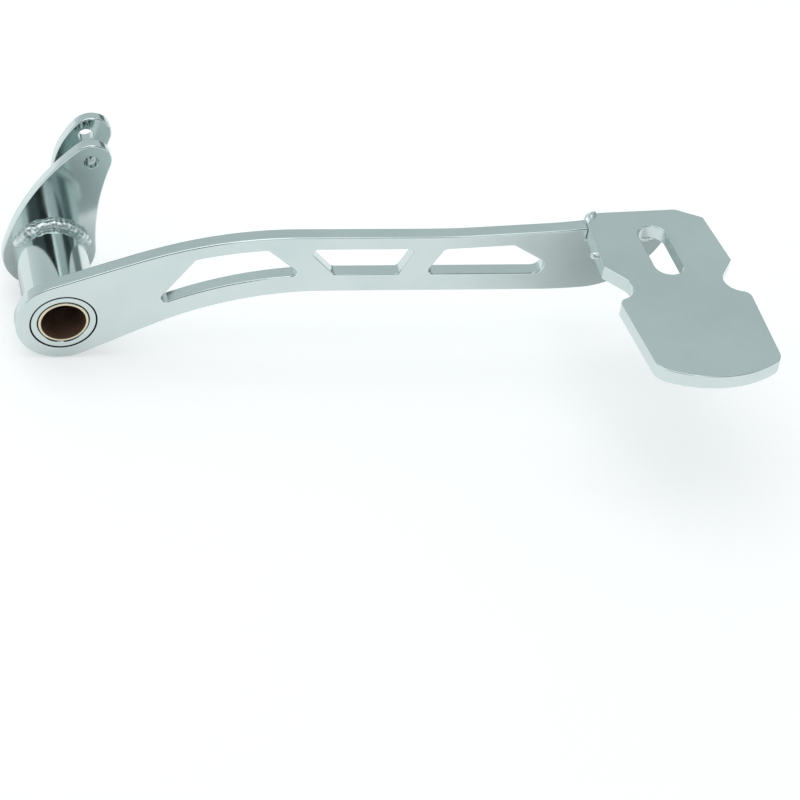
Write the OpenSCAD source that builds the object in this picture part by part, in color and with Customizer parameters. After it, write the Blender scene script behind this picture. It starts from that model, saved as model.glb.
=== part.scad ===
// Rear brake pedal for a motorcycle: a flat side arm with three cut-out windows,
// a footplate welded across its front end, a bushed pivot tube at its rear end,
// and two rod ears that stand on the tube on the machine's side.
//
// X runs forward along the arm, Y runs from the outer side towards the machine,
// Z is up. The origin is on the pivot axis, at the outer face of the arm.

/* [Arm] */
// Thickness of the arm plate
arm_t = 6.35; // [5:0.05:8]
// Radius of the arm's round rear end
arm_end_r = 20.4; // [18.5:0.1:24]
// Height of the straight beam, edge to edge
beam_h = 30.3; // [27:0.1:34]
// Height of the beam's lower edge above the pivot axis
beam_rise = 16.4; // [12:0.1:20]
// Radius of the crown, where the top edge arches over
crown_r = 179; // [165:1:200]
// Distance forward from the pivot to the end of the crown
crown_x = 96; // [90:1:102]
// Radius of the arch under the arm
under_r = 151.6; // [140:0.1:165]
// Distance forward from the pivot to the end of the lower arch
under_x = 110.6; // [104:0.1:118]
// Distance forward from the pivot to where the top edge starts to rise
flare_x = 163; // [150:1:175]
// Slope of the rising top edge, in degrees
flare_angle = 3.85; // [2:0.05:5]
// Radius that blends the level top edge into the rising one
flare_blend_r = 300; // [150:10:450]

/* [Arm front end] */
// Distance forward from the pivot to the middle line of the footplate
arm_reach = 248.2; // [242:0.1:270]
// How far before that line the arm starts to bend towards the machine
bend_before = 44; // [38:0.5:50]
// Angle of the bend, in degrees
bend_angle = 8; // [4:0.5:11]
// Radius of the bend, on the outer face
bend_r = 206; // [150:1:260]
// How far the arm's rounded tail runs past the footplate's middle line
tail_past = 13.8; // [8:0.1:20]
// Radius of the tail, under the footplate
tail_r = 36; // [32:0.1:42]

/* [Windows] */
// Width of metal above the windows
window_top_web = 6.8; // [5:0.1:9]
// Width of metal below the windows
window_low_web = 9.6; // [7:0.1:11]
// Corner radius of the windows
window_r = 2.2; // [1:0.1:3]
// Corner radius at the long front corner of the third window
window_nose_r = 4.2; // [3:0.1:5]
// Rear edge of the first window, at the windows' middle height
window1_rear_x = 52.1; // [50:0.1:56]
// Lean of that edge, in degrees from the forward direction
window1_rear_lean = 58.4; // [50:0.1:70]
// Front edge of the first window
window1_front_x = 91; // [86:0.1:94]
// Lean of that edge
window1_front_lean = 140; // [130:0.5:145]
// Rear edge of the second window
window2_rear_x = 106.8; // [104:0.1:112]
// Lean of that edge
window2_rear_lean = 134; // [120:0.5:140]
// Front edge of the second window
window2_front_x = 145; // [138:0.1:148]
// Lean of that edge
window2_front_lean = 66.8; // [60:0.1:80]
// Rear edge of the third window
window3_rear_x = 157.1; // [155:0.1:165]
// Lean of that edge
window3_rear_lean = 64; // [58:0.5:80]
// Front edge of the third window
window3_front_x = 204.8; // [196:0.1:207]
// Lean of that edge
window3_front_lean = 148.5; // [144:0.5:152]

/* [Footplate] */
// Thickness of the footplate
pad_t = 6.35; // [5:0.05:9]
// Rise of the footplate towards its outer end, in degrees
pad_tilt = 4.5; // [0:0.1:8]
// Turn of the footplate's long axis towards the front, in degrees
pad_splay = 4.3; // [0:0.1:8]
// How far the footplate stands out past the arm's inner face
pad_overhang = 2.4; // [0.5:0.1:4]
// Half width of the neck's inner edge, towards the front
neck_inner_half = 16; // [12:0.1:19]
// Half width of the neck's inner edge, towards the rear
neck_rear_half = 19.6; // [15:0.1:22]
// How far the rear end of that edge stands in past its front end
neck_skew = 0.6; // [0:0.1:1.2]
// Half width of the neck below its bevels
neck_half = 26.8; // [24:0.1:27.5]
// Depth of the bevels on the neck's inner corners
neck_bevel = 6.8; // [4:0.1:10]
// Half width of the neck at its outer points
neck_point_half = 29; // [28:0.1:32]
// Distance from the inner edge to the neck's outer points
neck_len = 37.4; // [35:0.1:40]
// Radius of the two side notches
notch_r = 8.2; // [7:0.1:9.4]
// Half width of the waist between the notches
waist_half = 20.7; // [18:0.1:23]
// Distance from the inner edge to the middle of the notches
notch_mid = 51.4; // [50:0.1:55]
// Radius of the shoulders
shoulder_r = 4.2; // [3:0.1:6]
// Half width over the shoulders
shoulder_half = 29.5; // [27.5:0.1:31]
// Half width at the outer corners
toe_half = 27.9; // [25:0.1:30]
// Radius of the outer corners
toe_corner_r = 8; // [4:0.1:11]
// Radius of the curved outer edge
toe_r = 47; // [40:0.5:70]
// Length of the footplate
pad_len = 114.6; // [106:0.1:130]
// Width of the slot in the neck
slot_w = 13; // [9:0.1:16]
// Distance from the inner edge to the start of the slot
slot_start = 11; // [9:0.1:13]
// Length of the slot over its round ends
slot_len = 34.2; // [28:0.1:37]

/* [Pivot] */
// Bore of the bushings, a running fit on the machine's pivot shaft
bore_d = 19.05; // [17:0.05:20]
// Outside diameter of the bushings
bush_d = 22; // [21:0.1:23]
// Length of each bushing
bush_len = 19; // [12:0.5:26]
// Outside diameter of the pivot tube, up to its shoulder
tube_d = 31.2; // [30:0.1:33]
// Diameter of the tube behind the shoulder, where the ears sit
rear_d = 25.4; // [24.6:0.1:27]
// Diameter of the tube's spigot in the arm
spigot_d = 28.4; // [26.5:0.1:29.2]
// Chamfer on the edges of the tube and bushings
edge_chamfer = 0.5; // [0.2:0.05:0.7]
// Radial gap where a part is pressed into another
press_gap = 0.02; // [0:0.01:0.05]
// Radial gap where a part is slipped in and then welded
slip_gap = 0.05; // [0.02:0.01:0.1]

/* [Rod ears] */
// Thickness of each ear
ear_t = 4.76; // [3:0.01:6]
// Distance from the arm's outer face to the outer ear
ear_y = 44.5; // [38:0.1:52]
// Clear gap between the two ears
ear_gap = 13.2; // [11:0.1:16]
// Radius of the outer ear's foot round the tube
ear_foot_r = 20.3; // [19:0.1:23]
// How far the middle of that foot is set back from the pivot axis
ear_foot_back = 0.5; // [0:0.1:1.2]
// Radius of the ears' upper ends
ear_eye_r = 9; // [8:0.1:11]
// Forward place of the rod pin
pin_x = 12.4; // [9:0.1:16]
// Height of the rod pin above the pivot axis
pin_z = 50.8; // [46:0.1:58]
// Diameter of the rod pin holes
pin_d = 6.5; // [5:0.1:9]
// Radius of the outer ear's bulging rear edge
ear_back_r = 98; // [80:1:140]
// Radius of the outer ear's hollow front edge
ear_front_r = 125; // [100:1:180]
// How far forward the inner ear's end is set from the pin
inner_eye_shift = 2.2; // [0:0.1:3]
// Radius of the inner ear's rear edge
inner_back_r = 41; // [36:0.5:48]
// Forward place of the inner ear's straight rear edge
inner_back_x = -0.4; // [-2:0.1:1]
// Outside diameter of the boss round the pin hole
boss_d = 10.6; // [9.6:0.1:12]
// Length of the boss
boss_len = 4.8; // [3:0.1:7]

/* [Welds] */
// Size of the bead over the tube at the outer ear
ear_bead = 3.6; // [2:0.1:4.2]
// Where that bead starts, in degrees up from the forward direction
ear_bead_from = 14; // [5:1:40]
// Where it ends
ear_bead_to = 166; // [140:1:175]
// Size of the bead between the tube and the inner ear
inner_bead = 2.4; // [1.5:0.1:3.5]
// Size of the bead round the tube at the arm
arm_bead = 2.5; // [1.5:0.1:2.8]
// Size of the beads under the footplate
pad_bead = 3.2; // [2:0.1:4]
// How far those beads run past the footplate's middle line
pad_bead_past = 6; // [2:0.1:9]
// Radius of the bead at the footplate's inner corner
corner_bead = 3; // [2:0.1:3.5]
// Radius of the tack on the side of the footplate's neck
tack_r = 2.2; // [1.5:0.1:3]

/* [Hidden] */
$fa = 1;
$fs = 0.4;

chrome = "#b4c0c3";
bronze = "#bfa676";
bead_chrome = "#c9d3d4";

// Spare length by which a cutting shape runs past what it cuts
past = 10;

// How far a round is drawn into what it is tangent to, so that the two fuse
lap = 0.003;

beam_top = beam_rise + beam_h;
crown_c = [crown_x, beam_top - crown_r];
under_c = [under_x, beam_rise - under_r];
bend_x = arm_reach - bend_before;
tail_c = [arm_reach + tail_past - tail_r, beam_rise + tail_r];
window_z = (beam_rise + window_low_web + beam_top - window_top_web) / 2;

bore_r = bore_d / 2;
tube_r = tube_d / 2;
rear_r = rear_d / 2;
spigot_r = spigot_d / 2;
ream_r = bush_d / 2 + press_gap;
inner_ear_y = ear_y + ear_t + ear_gap;
tube_len = inner_ear_y + ear_t;
pin_at = [pin_x, pin_z];
inner_eye = pin_at + [inner_eye_shift, 0];

neck_rear = [-neck_rear_half, neck_skew];
notch_c = [waist_half + notch_r, -notch_mid];
shoulder_x = shoulder_half - shoulder_r;
shoulder_reach = notch_r + shoulder_r;
shoulder_c = [shoulder_x,
    notch_c.y - sqrt(shoulder_reach * shoulder_reach - pow(notch_c.x - shoulder_x, 2))];
toe_c = [0, toe_r - pad_len];
toe_corner_x = toe_half - toe_corner_r;
toe_corner_c = [toe_corner_x,
    toe_c.y - sqrt(pow(toe_r - toe_corner_r, 2) - toe_corner_x * toe_corner_x)];

// The beads under the footplate start where the arm is straight again, past its bend
bend_end = bend_x + bend_r * sin(bend_angle);
pad_bead_from = max(bend_end, arm_reach - neck_half) + 1.3;
pad_bead_to = arm_reach + pad_bead_past;

pad_y = bend_y(arm_reach) + arm_t / cos(bend_angle) + pad_overhang;
pad_z = arm_top(arm_reach - neck_half) - neck_bevel * sin(pad_tilt);

// The unit vector along v, and the unit vector at an angle
function unit(v) = v / norm(v);
function heading(angle) = [cos(angle), sin(angle)];

// Height of the arm's top edge at x
function arm_top(x) = beam_top + max(0, x - flare_x) * tan(flare_angle);

// Place across the machine of the arm's outer face at x
function bend_y(x) = let (run = bend_r * sin(bend_angle), along = x - bend_x)
    along <= 0 ? 0
    : along <= run ? bend_r - sqrt(bend_r * bend_r - along * along)
    : bend_r * (1 - cos(bend_angle)) + (along - run) * tan(bend_angle);

// The same for its inner face
function bend_back_y(x) = let (run = (bend_r - arm_t) * sin(bend_angle), along = x - bend_x)
    along <= run ? bend_r - sqrt(pow(bend_r - arm_t, 2) - along * along)
    : bend_y(x) + arm_t / cos(bend_angle);

// Where a line through p at an angle crosses the circle at c, on its near or far side
function line_meets(p, angle, c, r, side) =
    let (u = heading(angle), w = p - c, b = w * u)
    p + u * (side * sqrt(b * b - w * w + r * r) - b);

// Where two circles cross, on one side of the line from a to b
function circles_meet(a, ra, b, rb, side) =
    let (d = norm(b - a), u = (b - a) / d, t = (ra * ra - rb * rb + d * d) / (2 * d))
    a + u * t + side * [u.y, -u.x] * sqrt(ra * ra - t * t);

// Direction of the outward normal of a line that touches a circle at the origin
// and one at c, where gap is n . c for that normal n
function touching(c, gap, side) = heading(atan2(c.y, c.x) + side * acos(gap / norm(c)));

// Where a slanted window edge, given at the windows' middle height, has height z
function edge_at(x, lean, z) = [x + (z - window_z) / tan(lean), z];

// The same edge against the third window's top, which rises with the arm
function edge_under_flare(x, lean) =
    let (z0 = beam_top - window_top_web - flare_x * tan(flare_angle),
         z = (z0 + (x - window_z / tan(lean)) * tan(flare_angle))
             / (1 - tan(flare_angle) / tan(lean)))
    edge_at(x, lean, z);

// A plate drawn in side view, x by z, from y0 towards the machine
module side_plate(y0, t) {
    translate([0, y0 + t, 0])
        rotate([90, 0, 0])
            linear_extrude(t)
                children();
}

// A turned part about the pivot axis, from a profile of radius by y
module turned_on_pivot() {
    rotate([-90, 0, 0])
        rotate_extrude()
            children();
}

// A convex outline with each corner rounded to its own radius
module rounded(corners, radii) {
    n = len(corners);
    legs = [for (i = [0 : n - 1])
        let (a = unit(corners[(i + n - 1) % n] - corners[i]),
             b = unit(corners[(i + 1) % n] - corners[i]),
             half = acos(a * b) / 2)
        [corners[i] + a * radii[i] / tan(half),
         corners[i] + b * radii[i] / tan(half),
         corners[i] + unit(a + b) * radii[i] / sin(half)]];
    polygon([for (leg = legs) each [leg[0], leg[1]]]);
    for (i = [0 : n - 1])
        translate(legs[i][2])
            circle(radii[i] + lap);
}

// First window: it follows the arch of the arm above and below
module arched_window() {
    top_r = crown_r - window_top_web;
    low_r = under_r + window_low_web;
    rear = [window1_rear_x, window_z];
    front = [window1_front_x, window_z];
    rear_out = heading(window1_rear_lean + 90);
    front_out = heading(window1_front_lean - 90);
    rear_in = rear - rear_out * window_r;
    front_in = front - front_out * window_r;
    low_rear = line_meets(rear_in, window1_rear_lean, under_c, low_r + window_r, 1);
    top_rear = line_meets(rear_in, window1_rear_lean, crown_c, top_r - window_r, 1);
    low_front = line_meets(front_in, window1_front_lean, under_c, low_r + window_r, -1);
    top_front = line_meets(front_in, window1_front_lean, crown_c, top_r - window_r, 1);
    difference() {
        intersection() {
            translate(crown_c)
                circle(top_r);
            polygon([
                low_rear, low_rear - unit(low_rear - under_c) * past,
                low_front - unit(low_front - under_c) * past, low_front,
                low_front + front_out * window_r, top_front + front_out * window_r,
                top_front, top_front + unit(top_front - crown_c) * past,
                top_rear + unit(top_rear - crown_c) * past, top_rear,
                top_rear + rear_out * window_r, low_rear + rear_out * window_r]);
        }
        translate(under_c)
            circle(low_r);
    }
    for (c = [low_rear, top_rear, top_front, low_front])
        translate(c)
            circle(window_r + lap);
}

// Second window, between the level edges of the beam
module middle_window() {
    top = beam_top - window_top_web;
    low = beam_rise + window_low_web;
    rounded([
        edge_at(window2_rear_x, window2_rear_lean, low),
        edge_at(window2_front_x, window2_front_lean, low),
        edge_at(window2_front_x, window2_front_lean, top),
        edge_at(window2_rear_x, window2_rear_lean, top)],
        [window_r, window_r, window_r, window_r]);
}

// Third window, whose top edge rises with the arm
module front_window() {
    low = beam_rise + window_low_web;
    rounded([
        edge_at(window3_rear_x, window3_rear_lean, low),
        edge_at(window3_front_x, window3_front_lean, low),
        edge_under_flare(window3_front_x, window3_front_lean),
        edge_under_flare(window3_rear_x, window3_rear_lean)],
        [window_r, window_nose_r, window_r, window_r]);
}

// Side view of the arm before its windows are cut
module arm_outline() {
    top_n = touching(crown_c, arm_end_r - crown_r, 1);
    low_n = touching(under_c, arm_end_r + under_r, -1);
    top_touch = crown_c + top_n * crown_r;
    low_touch = under_c - low_n * under_r;
    flare_at = [flare_x, beam_top];
    flare_leg = flare_blend_r * tan(flare_angle / 2);
    flare_c = flare_at + [-flare_leg, flare_blend_r];
    difference() {
        union() {
            circle(arm_end_r + lap);
            polygon([[0, 0], low_n * arm_end_r, low_touch, top_touch, top_n * arm_end_r]);
            intersection() {
                translate(crown_c)
                    circle(crown_r + lap);
                polygon([low_touch, [under_x, low_touch.y], [under_x, beam_rise],
                    [crown_x, beam_top + past], [top_touch.x - past, beam_top + past],
                    [top_touch.x - past, 0]]);
            }
            polygon([[crown_x - past, beam_rise], [tail_c.x, beam_rise],
                [tail_c.x, arm_top(tail_c.x)], flare_at + heading(flare_angle) * flare_leg,
                flare_c, flare_at - [flare_leg, 0], [crown_x, beam_top],
                [crown_x - past, beam_rise + past]]);
            intersection() {
                translate(tail_c)
                    circle(tail_r + lap);
                polygon([[tail_c.x - past, beam_rise - past],
                    [tail_c.x + tail_r + past, beam_rise - past],
                    [tail_c.x + tail_r + past, arm_top(tail_c.x)],
                    [tail_c.x, arm_top(tail_c.x)], [tail_c.x - past, beam_rise + past]]);
            }
        }
        translate(under_c)
            circle(under_r + lap);
        translate(flare_c)
            circle(flare_blend_r + lap);
    }
}

// Plan view of the arm's straight front end, past the bend
module arm_front_plan() {
    translate([bend_x, bend_r])
        rotate(bend_angle)
            translate([0, -bend_r])
                square([tail_past + bend_before + past, arm_t]);
}

// Plan view of all that lies behind a face of the arm, where that face bends at radius r
module behind_face(r) {
    edge = [bend_x, bend_r] + r * heading(bend_angle - 90);
    translate([bend_x, bend_r])
        circle(r + lap);
    polygon([[-arm_end_r - past, bend_r - r], [bend_x, bend_r - r], edge,
        edge + bend_r * heading(bend_angle), [edge.x + bend_r, bend_r],
        [-arm_end_r - past, bend_r]]);
}

// The left and right sides of an outline, from a list of points down its right side
function both_sides(points) = [
    each [for (p = points) [-p.x, p.y]],
    each [for (i = [len(points) - 1 : -1 : 0]) points[i]]];

// Outline of the footplate, seen from above, from its inner edge outwards
module pad_outline() {
    point = [neck_point_half, -neck_len];
    to_point = point - notch_c;
    notch_in = notch_c + notch_r * heading(
        atan2(to_point.y, to_point.x) + acos(notch_r / norm(to_point)));
    side_n = touching(toe_corner_c - shoulder_c, shoulder_r - toe_corner_r, 1);
    difference() {
        union() {
            polygon([neck_rear,
                each both_sides([[neck_half, -neck_bevel], point, notch_in, notch_c,
                    shoulder_c, shoulder_c + side_n * shoulder_r,
                    toe_corner_c + side_n * toe_corner_r, toe_corner_c]),
                [neck_inner_half, 0]]);
            for (side = [-1, 1]) {
                translate([side * shoulder_c.x, shoulder_c.y])
                    circle(shoulder_r + lap);
                translate([side * toe_corner_c.x, toe_corner_c.y])
                    circle(toe_corner_r + lap);
            }
            intersection() {
                translate(toe_c)
                    circle(toe_r);
                polygon([toe_c + 2 * [-toe_corner_c.x, toe_corner_c.y - toe_c.y],
                    toe_c + 2 * (toe_corner_c - toe_c), toe_c]);
            }
        }
        for (side = [-1, 1])
            translate([side * notch_c.x, notch_c.y])
                circle(notch_r + lap);
    }
}

// Puts its children in the footplate's own place: z = 0 is the upper face
module at_pad() {
    translate([arm_reach, pad_y, pad_z])
        rotate([-pad_tilt, 0, pad_splay])
            children();
}

// Everything at or above the footplate's underside, inside its outline
module pad_space() {
    at_pad()
        translate([0, 0, -pad_t])
            linear_extrude(pad_t + 2 * past)
                pad_outline();
}

// The arm up to the footplate, before its windows and bore are cut
module arm_body() {
    difference() {
        intersection() {
            side_plate(-past, arm_t + tail_r + 2 * past)
                arm_outline();
            translate([0, 0, -arm_end_r - past])
                linear_extrude(arm_end_r + arm_top(tail_c.x) + 3 * past)
                    difference() {
                        behind_face(bend_r);
                        behind_face(bend_r - arm_t);
                    }
        }
        pad_space();
    }
}

module arm_plate() {
    color(chrome)
        difference() {
            arm_body();
            side_plate(-past, arm_t + 2 * past) {
                circle(spigot_r + slip_gap);
                arched_window();
                middle_window();
                front_window();
            }
        }
}

module footplate() {
    slot_r = slot_w / 2;
    color(chrome)
        at_pad()
            difference() {
                translate([0, 0, -pad_t])
                    linear_extrude(pad_t)
                        pad_outline();
                translate([0, 0, -pad_t - past])
                    linear_extrude(pad_t + 2 * past) {
                        translate([0, -slot_start - slot_r])
                            circle(slot_r);
                        translate([0, -slot_start - slot_len + slot_r])
                            circle(slot_r);
                        translate([-slot_r, -slot_start - slot_len + slot_r])
                            square([slot_w, slot_len - slot_w]);
                    }
            }
}

module pivot_tube() {
    c = edge_chamfer;
    color(chrome)
        turned_on_pivot()
            polygon([[ream_r, c], [ream_r + c, 0], [spigot_r - c, 0], [spigot_r, c],
                [spigot_r, arm_t], [tube_r, arm_t], [tube_r, ear_y], [rear_r, ear_y],
                [rear_r, tube_len - c], [rear_r - c, tube_len], [ream_r + c, tube_len],
                [ream_r, tube_len - c]]);
}

// A bushing from y0 towards the machine, with its outer edges chamfered
module bushing(y0) {
    c = edge_chamfer;
    r = bush_d / 2;
    color(bronze)
        turned_on_pivot()
            translate([0, y0])
                polygon([[bore_r, 0], [r - c, 0], [r, c], [r, bush_len - c],
                    [r - c, bush_len], [bore_r, bush_len]]);
}

module outer_bushing() {
    bushing(0);
}

module inner_bushing() {
    bushing(tube_len - bush_len);
}

// Outline of the outer ear: a round foot and a round eye, joined by a rear edge
// that bulges and a front edge that is hollow, both tangent to the two rounds
module outer_ear_outline() {
    foot_c = [-ear_foot_back, 0];
    back_c = circles_meet(foot_c, ear_back_r - ear_foot_r,
        pin_at, ear_back_r - ear_eye_r, 1);
    front_c = circles_meet(foot_c, ear_front_r + ear_foot_r,
        pin_at, ear_front_r + ear_eye_r, 1);
    foot_back = unit(foot_c - back_c);
    eye_back = unit(pin_at - back_c);
    bulge = back_c + unit(foot_back + eye_back) * (ear_back_r + 2 * past);
    translate(foot_c)
        circle(ear_foot_r + lap);
    translate(pin_at)
        circle(ear_eye_r + lap);
    difference() {
        intersection() {
            translate(back_c)
                circle(ear_back_r);
            polygon([foot_c, foot_c + unit(front_c - foot_c) * (ear_foot_r + past),
                pin_at + unit(front_c - pin_at) * (ear_eye_r + past),
                pin_at, pin_at + eye_back * (ear_eye_r + past), bulge,
                foot_c + foot_back * (ear_foot_r + past)]);
        }
        translate(front_c)
            circle(ear_front_r);
    }
}

module outer_rod_ear() {
    color(chrome)
        side_plate(ear_y, ear_t)
            difference() {
                outer_ear_outline();
                circle(rear_r + slip_gap);
                translate(pin_at)
                    circle(pin_d / 2);
            }
}

// Outline of the inner ear, which stands on top of the tube like a saddle
module inner_ear_outline() {
    back_cx = inner_back_x + inner_back_r;
    back_c = [back_cx, inner_eye.y
        - sqrt(pow(inner_back_r - ear_eye_r, 2) - pow(back_cx - inner_eye.x, 2))];
    over_eye = inner_eye + unit(inner_eye - back_c) * (ear_eye_r + past);
    front_n = touching(inner_eye, rear_r - ear_eye_r, -1);
    translate(inner_eye)
        circle(ear_eye_r + lap);
    intersection() {
        translate(back_c)
            circle(inner_back_r + lap);
        polygon([inner_eye, over_eye, [inner_back_x - past, over_eye.y],
            [inner_back_x - past, back_c.y - past], [inner_eye.x, back_c.y - past]]);
    }
    polygon([[0, 0], front_n * rear_r, inner_eye + front_n * ear_eye_r, inner_eye,
        [inner_back_x, back_c.y], [inner_back_x, 0]]);
}

module inner_rod_ear() {
    color(chrome)
        side_plate(inner_ear_y, ear_t)
            difference() {
                inner_ear_outline();
                circle(rear_r + slip_gap);
                translate(pin_at)
                    circle(pin_d / 2);
            }
}

module pin_boss() {
    color(chrome)
        translate([pin_x, ear_y + ear_t, pin_z])
            rotate([-90, 0, 0])
                difference() {
                    cylinder(h = boss_len, d = boss_d);
                    translate([0, 0, -past])
                        cylinder(h = boss_len + 2 * past, d = pin_d);
                }
}

// A quarter-round bead on the tube at radius r, against a plate face at y0
module ring_bead(r, size, y0, side) {
    turned_on_pivot()
        translate([r, y0])
            intersection() {
                circle(size);
                translate([0, min(0, side * past)])
                    square([past, past]);
            }
}

module arm_tube_weld() {
    color(bead_chrome)
        ring_bead(tube_r, arm_bead, arm_t, 1);
}

// The bead at the outer ear runs over the top of the tube
module outer_ear_weld() {
    over = 2 * tube_r;
    color(bead_chrome)
        intersection() {
            ring_bead(tube_r, ear_bead, ear_y, -1);
            side_plate(ear_y - past, past)
                polygon([[0, 0], over * heading(ear_bead_from), [over, 2 * over],
                    [-over, 2 * over], over * heading(ear_bead_to)]);
        }
}

// The bead in the gap runs only where the inner ear stands on the tube
module inner_ear_weld() {
    front_n = touching(inner_eye, rear_r - ear_eye_r, -1);
    color(bead_chrome)
        intersection() {
            ring_bead(rear_r, inner_bead, inner_ear_y, -1);
            side_plate(inner_ear_y - past, past)
                polygon([[0, 0], front_n * 2 * tube_r, [2 * tube_r, 2 * tube_r],
                    [inner_back_x, 2 * tube_r]]);
        }
}

// A round bead between two points, with tapered ends
module bead_bar(from, to, r) {
    run = to - from;
    length = norm(run);
    translate(from)
        rotate([0, acos(run.z / length), atan2(run.y, run.x)])
            rotate_extrude()
                polygon([[0, 0], [r / 2, 0], [r, r], [r, length - r], [r / 2, length],
                    [0, length]]);
}

// The point on the footplate's underside at x and y
function under_pad(x, y) = [x, y, pad_z - pad_t / cos(pad_tilt) - tan(pad_tilt)
    * ((y - pad_y) * cos(pad_splay) - (x - arm_reach) * sin(pad_splay))];

// A bead laid under the footplate, on one face of the arm's straight front end
module under_pad_bead(start, end, face_y) {
    color(bead_chrome)
        difference() {
            bead_bar(under_pad(start, bend_y(start) + face_y),
                under_pad(end, bend_y(end) + face_y), pad_bead);
            linear_extrude(pad_z)
                arm_front_plan();
            at_pad()
                translate([-neck_half, -neck_len, -pad_t])
                    cube([2 * neck_half, neck_len + past, pad_t + past]);
        }
}

module front_pad_weld() {
    under_pad_bead(pad_bead_from, pad_bead_to, 0);
}

module rear_pad_weld() {
    under_pad_bead(pad_bead_from, pad_bead_to, arm_t / cos(bend_angle));
}

// A point beside the bevel on the footplate's inner corner, as a share of its length
function beside_bevel(share) =
    let (a = [-neck_half, -neck_bevel], b = neck_rear, u = unit(b - a),
         p = a + share * (b - a) + [-u.y, u.x] * corner_bead / 2)
    [p.x, p.y, -corner_bead / 2];

module corner_pad_weld() {
    rear_x = arm_reach - neck_half - corner_bead;
    front_x = arm_reach - neck_inner_half;
    color(bead_chrome)
        difference() {
            at_pad()
                bead_bar(beside_bevel(0), beside_bevel(0.66), corner_bead);
            linear_extrude(pad_z + past)
                polygon([[rear_x, 0], [front_x, 0], [front_x, bend_back_y(front_x)],
                    [rear_x, bend_back_y(rear_x)]]);
            at_pad()
                translate([0, 0, -pad_t - past])
                    linear_extrude(pad_t + 2 * past)
                        polygon([[-neck_half, -neck_len], [0, -neck_len], [0, 0],
                            neck_rear, [-neck_half, -neck_bevel]]);
        }
}

module side_tack_weld() {
    a = [-neck_half, -neck_bevel];
    b = [-neck_point_half, -neck_len];
    p = a + 0.62 * (b - a);
    color(bead_chrome)
        at_pad()
            difference() {
                translate([p.x, p.y, -tack_r])
                    sphere(tack_r);
                translate([0, 0, -pad_t])
                    linear_extrude(pad_t)
                        polygon([a, b, [0, b.y], [0, a.y]]);
            }
}

arm_plate();
footplate();
pivot_tube();
outer_bushing();
inner_bushing();
outer_rod_ear();
inner_rod_ear();
pin_boss();
arm_tube_weld();
outer_ear_weld();
inner_ear_weld();
front_pad_weld();
rear_pad_weld();
corner_pad_weld();
side_tack_weld();
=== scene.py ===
# %% [markdown]
# # A chrome-plated rear brake pedal
# The pedal is a flat steel arm with three windows, a broad footplate welded across its
# front end, a bushed tube at the rear that turns on the machine's pivot shaft, and two
# ears on the tube that pull the brake rod. Everything but the two bronze bushings is
# chrome plated after welding, so one bright skin covers plates and weld beads alike.
#
# The CAD model already fixes every size and place. This lesson dresses it: it rounds the
# plates' edges, lays real weld beads where the CAD has plain ones, and gives each surface
# the finish that the photograph shows.

import bmesh
import bpy
import numpy as np
from mathutils import Matrix, Vector


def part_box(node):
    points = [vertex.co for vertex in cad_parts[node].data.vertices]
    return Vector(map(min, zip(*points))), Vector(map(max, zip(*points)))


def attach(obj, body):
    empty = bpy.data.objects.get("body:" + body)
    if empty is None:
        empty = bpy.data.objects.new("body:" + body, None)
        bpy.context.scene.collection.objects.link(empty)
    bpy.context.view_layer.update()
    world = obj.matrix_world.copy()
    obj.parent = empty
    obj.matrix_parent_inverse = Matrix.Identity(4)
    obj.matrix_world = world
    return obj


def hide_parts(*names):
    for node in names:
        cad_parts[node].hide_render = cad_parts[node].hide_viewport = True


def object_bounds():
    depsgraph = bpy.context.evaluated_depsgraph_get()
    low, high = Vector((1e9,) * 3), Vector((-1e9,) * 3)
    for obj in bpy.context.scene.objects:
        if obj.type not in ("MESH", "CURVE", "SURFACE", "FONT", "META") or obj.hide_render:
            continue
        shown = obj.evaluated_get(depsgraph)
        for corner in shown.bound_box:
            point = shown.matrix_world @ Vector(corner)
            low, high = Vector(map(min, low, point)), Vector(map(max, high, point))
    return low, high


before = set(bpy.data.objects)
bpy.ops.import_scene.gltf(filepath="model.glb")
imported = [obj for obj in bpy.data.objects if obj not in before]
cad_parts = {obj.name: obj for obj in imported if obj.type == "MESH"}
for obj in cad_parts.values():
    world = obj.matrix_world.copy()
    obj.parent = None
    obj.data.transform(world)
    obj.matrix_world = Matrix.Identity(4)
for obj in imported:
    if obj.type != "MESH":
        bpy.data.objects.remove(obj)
start_low, start_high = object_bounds()
BODY = "root"
MM = 0.001

print("CAD nodes:", ", ".join(sorted(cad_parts)))
print("overall, mm:", [round(v / MM, 1) for v in start_high - start_low])

# %% [markdown]
# ## Places taken from the CAD
# The origin lies on the pivot axis, at the arm's outer face. X runs forward along the
# arm, Y towards the machine and Z up. The weld beads follow the tube, the ears and the
# footplate, so their places are read from those nodes and not typed again.

# %% Tools that measure a node
def corners_of(node):
    """All the vertices of a CAD node, as rows of x, y and z in metres."""
    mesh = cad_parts[node].data
    points = np.empty(len(mesh.vertices) * 3)
    mesh.vertices.foreach_get("co", points)
    return points.reshape(-1, 3)


def reach_from_pivot(node, y_from, y_to):
    """Distances from the pivot axis of the node's vertices between two values of y."""
    points = corners_of(node)
    points = points[(points[:, 1] > y_from) & (points[:, 1] < y_to)]
    return np.hypot(points[:, 0], points[:, 2])


print("vertices of the arm's triangles:", len(corners_of("arm_plate")))

# %% Measure the arm, the ears, the tube and the bore
ear_low, ear_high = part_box("outer_rod_ear")
inner_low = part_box("inner_rod_ear")[0]
tube_low, tube_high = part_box("pivot_tube")

TUBE_R = tube_high.x
REAR_R = reach_from_pivot("pivot_tube", ear_high.y, tube_high.y).max()
SPIGOT_R = reach_from_pivot("pivot_tube", tube_low.y - MM, tube_low.y + MM).max()
BUSH_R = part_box("outer_bushing")[1].x
BORE_R = reach_from_pivot("outer_bushing", -MM, tube_high.y).min()

arm_points = corners_of("arm_plate")
ARM_T = float(arm_points[arm_points[:, 0] < 0, 1].max())

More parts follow.
